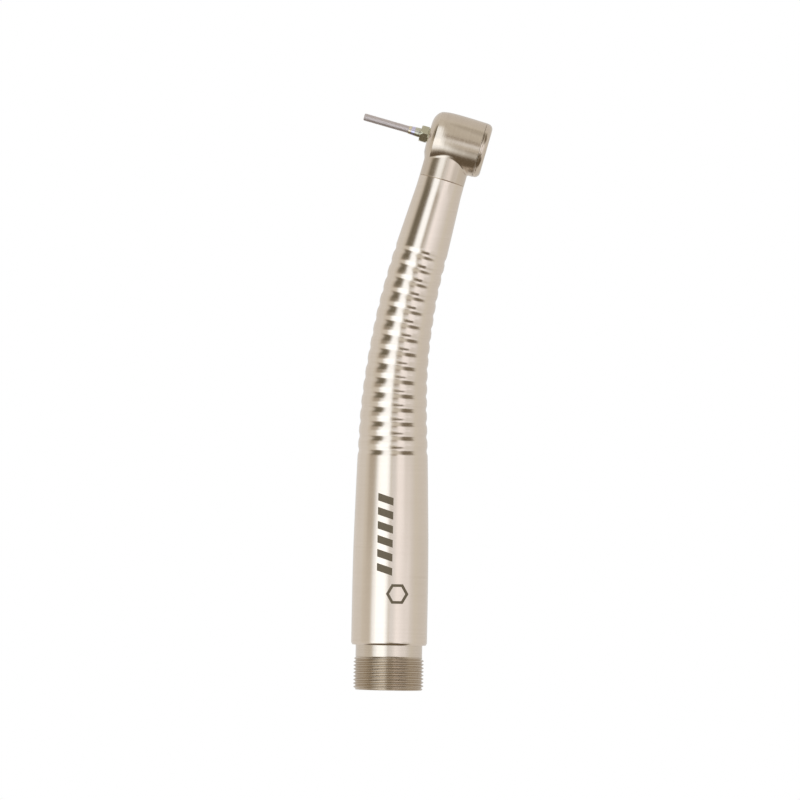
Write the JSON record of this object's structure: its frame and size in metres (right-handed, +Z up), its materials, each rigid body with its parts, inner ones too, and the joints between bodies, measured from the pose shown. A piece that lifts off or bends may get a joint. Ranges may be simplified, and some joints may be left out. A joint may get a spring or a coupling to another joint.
{
  "type": "high speed handpiece",
  "caption": "Dental air turbine handpiece: a bent ringed handle, a cross head with a key-tightened chuck and bur blank, and a threaded hose end with ports.",
  "frame": {"origin": "centre of the rear end face, where the threaded collar ends", "axes": "+Z up the straight part of the handle towards the head, +X the side that the handle bends towards, bur pointing towards -X"},
  "size_m": [0.0292, 0.0168, 0.1288],
  "materials": {
    "satin_steel": "satin, warm, fine polish along the handle",
    "cap_steel": "satin, same as the head",
    "head_steel": "satin with soft polish",
    "turned_steel": "as turned, slightly dull on the thread",
    "bright_steel": "bright drawn or ground steel",
    "chuck_steel": "ground, with a yellow tint",
    "blank_steel": "ground rod, satin grey",
    "jet_brass": "turned brass",
    "black_rubber": "moulded, matt black",
    "brown_rubber": "moulded, matt brown",
    "impeller_alloy": "milled",
    "cage_phenolic": "laminated resin, brown"
  },
  "bodies": {
    "handpiece": {"handle_sleeve": "satin_steel", "back_end": "turned_steel", "collar_ring": "brown_rubber", "port_block": "bright_steel", "port_gasket": "black_rubber", "drive_air_tube": "bright_steel", "exhaust_tube": "bright_steel", "water_tube": "bright_steel", "chip_air_tube": "bright_steel", "tube_spacer": "black_rubber", "head_housing": "head_steel", "neck_seal": "black_rubber", "air_jet": "jet_brass", "water_nozzle": "bright_steel", "chip_air_nozzle": "bright_steel", "front_outer_race": "bright_steel", "front_o_ring": "black_rubber", "front_washer": "bright_steel", "rear_outer_race": "bright_steel"},
    "rotor": {"spindle": "bright_steel", "impeller": "impeller_alloy", "front_inner_race": "bright_steel", "rear_inner_race": "bright_steel"},
    "front_ball_cage": {"front_balls": "bright_steel", "front_cage": "cage_phenolic"},
    "rear_ball_cage": {"rear_balls": "bright_steel", "rear_cage": "cage_phenolic"},
    "chuck_nut_body": {"chuck_nut": "chuck_steel"},
    "collet_body": {"collet": "chuck_steel"},
    "bur": {"bur_blank": "blank_steel"},
    "cap_rings": {"rear_o_ring": "black_rubber", "wave_washer": "bright_steel", "cap_seal": "black_rubber"},
    "cap": {"head_cap": "cap_steel"}
  },
  "joints": [
    {"name": "rotor_spin", "type": "hinge", "parent": "handpiece", "child": "rotor", "pos_m": [0.01206, 0, 0.1221], "axis": [-0.9659, 0, 0.2588], "continuous": true},
    {"name": "front_cage_spin", "type": "hinge", "parent": "handpiece", "child": "front_ball_cage", "pos_m": [0.01206, 0, 0.1221], "axis": [-0.9659, 0, 0.2588], "continuous": true},
    {"name": "rear_cage_spin", "type": "hinge", "parent": "handpiece", "child": "rear_ball_cage", "pos_m": [0.01206, 0, 0.1221], "axis": [-0.9659, 0, 0.2588], "continuous": true},
    {"name": "chuck_turn", "type": "hinge", "parent": "rotor", "child": "chuck_nut_body", "pos_m": [0.01206, 0, 0.1221], "axis": [-0.9659, 0, 0.2588], "range_deg": [0, 540]},
    {"name": "collet_slide", "type": "slide", "parent": "rotor", "child": "collet_body", "axis": [-0.9659, 0, 0.2588], "range_m": [0, 0.0005]},
    {"name": "bur_slide", "type": "slide", "parent": "collet_body", "child": "bur", "axis": [-0.9659, 0, 0.2588], "range_m": [0, 0.02]},
    {"name": "cap_slide", "type": "slide", "parent": "handpiece", "child": "cap_rings", "axis": [0.9659, 0, -0.2588], "range_m": [0, 0.002]},
    {"name": "cap_unscrew", "type": "hinge", "parent": "cap_rings", "child": "cap", "pos_m": [0.01206, 0, 0.1221], "axis": [0.9659, 0, -0.2588], "range_deg": [0, 1440]}
  ],
  "couplings": [
    {"joint": "front_cage_spin", "follows": "rotor_spin", "ratio": 0.39501},
    {"joint": "rear_cage_spin", "follows": "rotor_spin", "ratio": 0.39501},
    {"joint": "chuck_turn", "follows": "collet_slide", "rad_per_m": 18849},
    {"joint": "cap_unscrew", "follows": "cap_slide", "rad_per_m": 12566}
  ]
}
